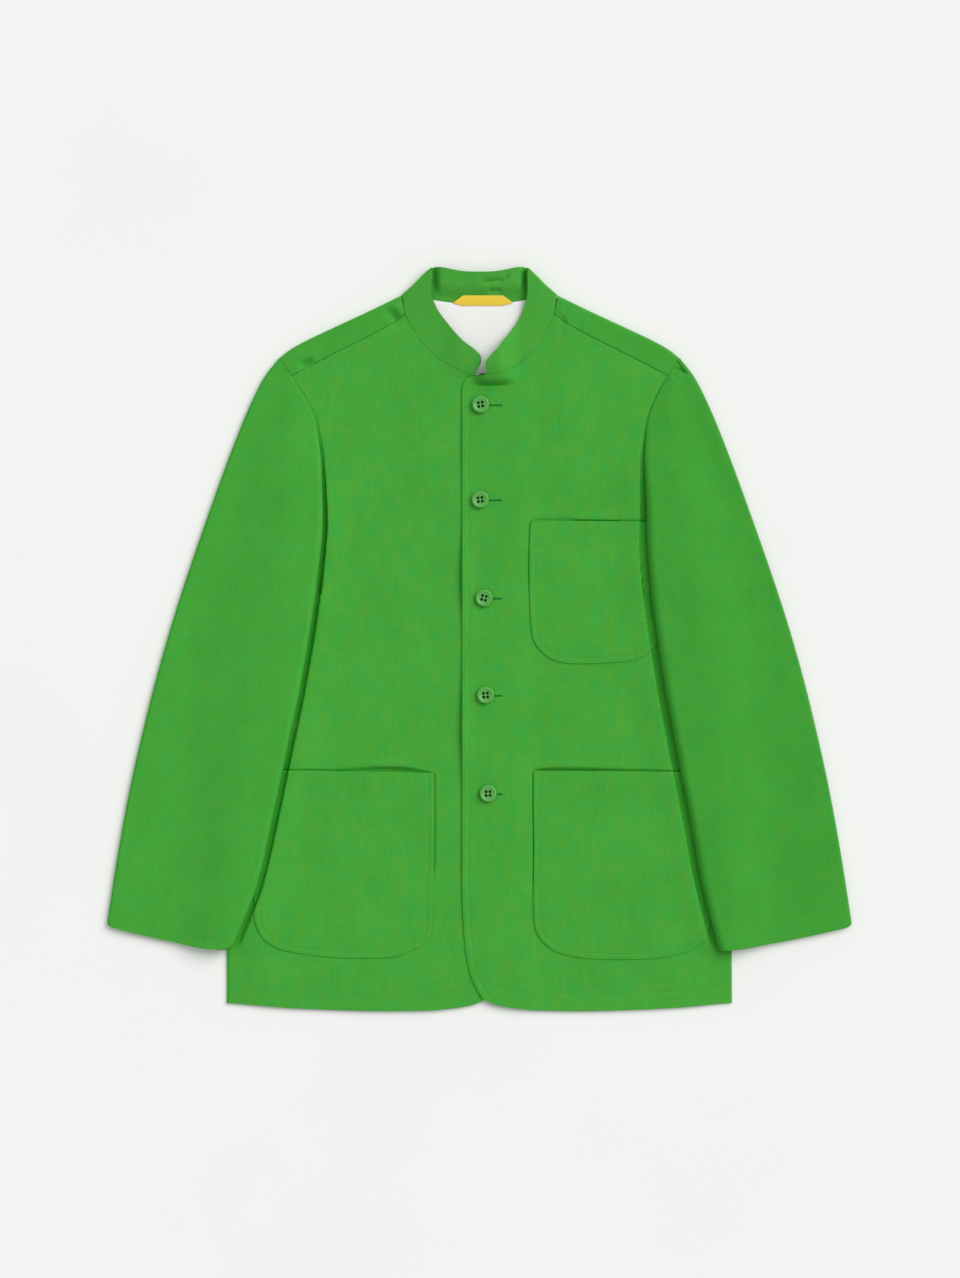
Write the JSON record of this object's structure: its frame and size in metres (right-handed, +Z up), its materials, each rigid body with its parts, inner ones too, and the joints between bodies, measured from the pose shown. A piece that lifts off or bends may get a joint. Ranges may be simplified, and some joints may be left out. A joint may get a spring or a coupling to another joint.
{
  "type": "linen jacket",
  "caption": "Linen jacket with a stand collar, buttoned front and patch pockets, laid out flat on its back with the sleeves over its sides.",
  "frame": {"origin": "on the surface the jacket lies on, below the middle of its outline", "axes": "+X across the jacket to the wearer's left, +Y from the hem to the collar, +Z up from the surface"},
  "size_m": [0.7822, 0.781, 0.0128],
  "materials": {
    "green_linen": "matt, plain weave",
    "white_lining": "smooth",
    "yellow_tab": "satin weave, plain",
    "green_button": "satin"
  },
  "bodies": {
    "root": {"back": "green_linen", "front_left": "green_linen", "front_right": "green_linen", "sleeve_left_upper": "green_linen", "sleeve_left_under": "green_linen", "sleeve_right_upper": "green_linen", "sleeve_right_under": "green_linen", "collar": "green_linen", "chest_pocket": "green_linen", "hip_pocket_left": "green_linen", "hip_pocket_right": "green_linen", "back_lining": "white_lining", "neck_label": "yellow_tab", "button_1": "green_button", "button_2": "green_button", "button_3": "green_button", "button_4": "green_button", "button_5": "green_button"}
  },
  "joints": []
}
